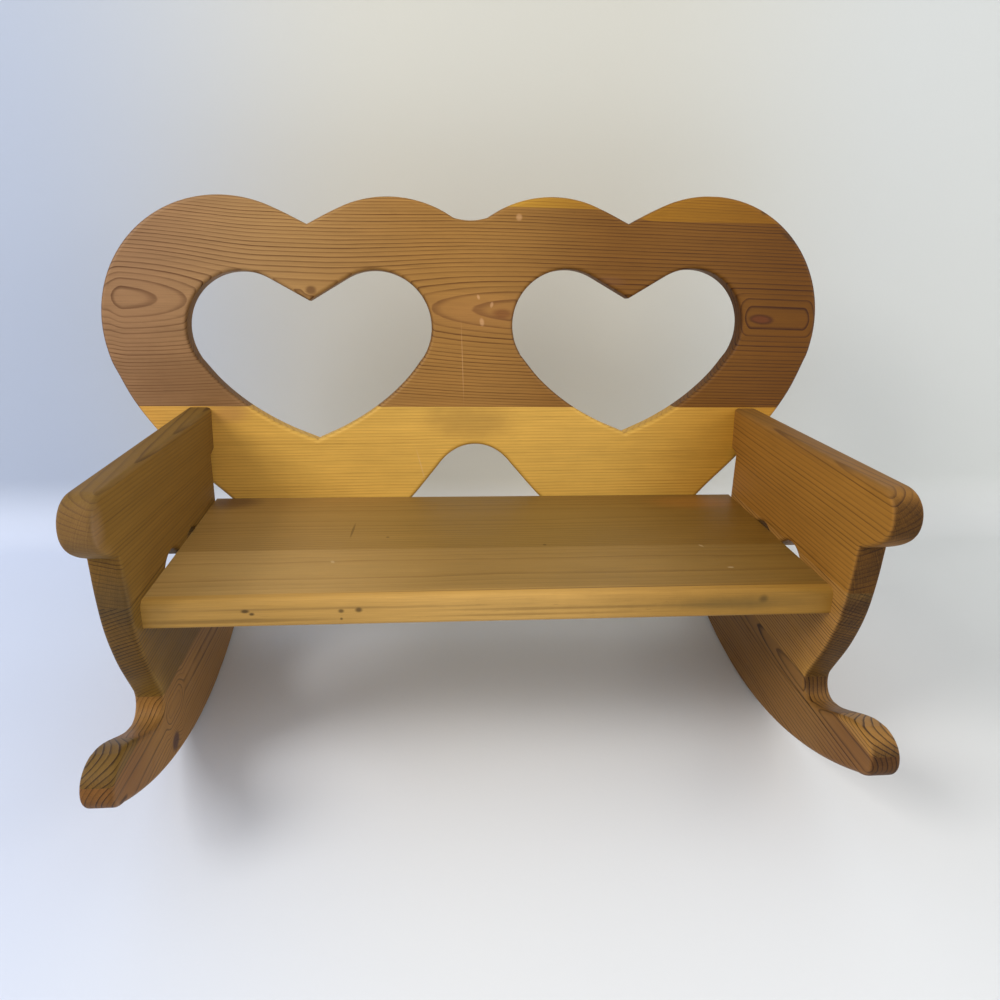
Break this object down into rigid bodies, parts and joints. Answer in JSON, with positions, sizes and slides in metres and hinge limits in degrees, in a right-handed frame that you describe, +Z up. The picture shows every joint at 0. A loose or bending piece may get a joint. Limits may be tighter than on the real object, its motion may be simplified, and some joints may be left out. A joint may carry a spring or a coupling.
{
  "type": "rocking bench",
  "caption": "Small wooden rocking bench with a joined-hearts back, plank seat and side panels that are arm, leg and rocker in one, with heart cut-outs.",
  "frame": {"origin": "on the floor, under the middle of the bounding box, with the bench at rest on its rockers", "axes": "+Z up, +X to the right as seen from the front, the sitter faces -Y"},
  "size_m": [0.5896, 0.3774, 0.3784],
  "materials": {
    "pine_upper_back": "satin varnished pine, reddish brown",
    "pine_lower_back": "satin varnished pine, golden",
    "pine_seat": "satin varnished pine, mid brown",
    "pine_seat_front": "satin varnished pine, golden brown",
    "pine_side": "satin varnished pine, olive brown",
    "pine_rocker": "satin varnished pine, dark brown",
    "pine_plug": "satin varnished pine, end grain",
    "steel_screw": "zinc plated"
  },
  "bodies": {
    "root": {"seat_front_board": "pine_seat_front", "seat_rear_board": "pine_seat", "back_upper_board": "pine_upper_back", "back_lower_board": "pine_lower_back", "left_arm_board": "pine_side", "left_leg_board": "pine_side", "left_rocker_board": "pine_rocker", "left_toe_strip": "pine_rocker", "left_heel_strip": "pine_rocker", "right_arm_board": "pine_side", "right_leg_board": "pine_side", "right_rocker_board": "pine_rocker", "right_toe_strip": "pine_rocker", "right_heel_strip": "pine_rocker", "left_front_side_screw": "steel_screw", "left_front_side_plug": "pine_plug", "left_rear_side_screw": "steel_screw", "left_rear_side_plug": "pine_plug", "right_front_side_screw": "steel_screw", "right_front_side_plug": "pine_plug", "right_rear_side_screw": "steel_screw", "right_rear_side_plug": "pine_plug", "left_inner_back_screw": "steel_screw", "left_inner_back_plug": "pine_plug", "left_outer_back_screw": "steel_screw", "left_outer_back_plug": "pine_plug", "left_arm_back_screw": "steel_screw", "left_arm_back_plug": "pine_plug", "right_inner_back_screw": "steel_screw", "right_inner_back_plug": "pine_plug", "right_outer_back_screw": "steel_screw", "right_outer_back_plug": "pine_plug", "right_arm_back_screw": "steel_screw", "right_arm_back_plug": "pine_plug"}
  },
  "joints": []
}
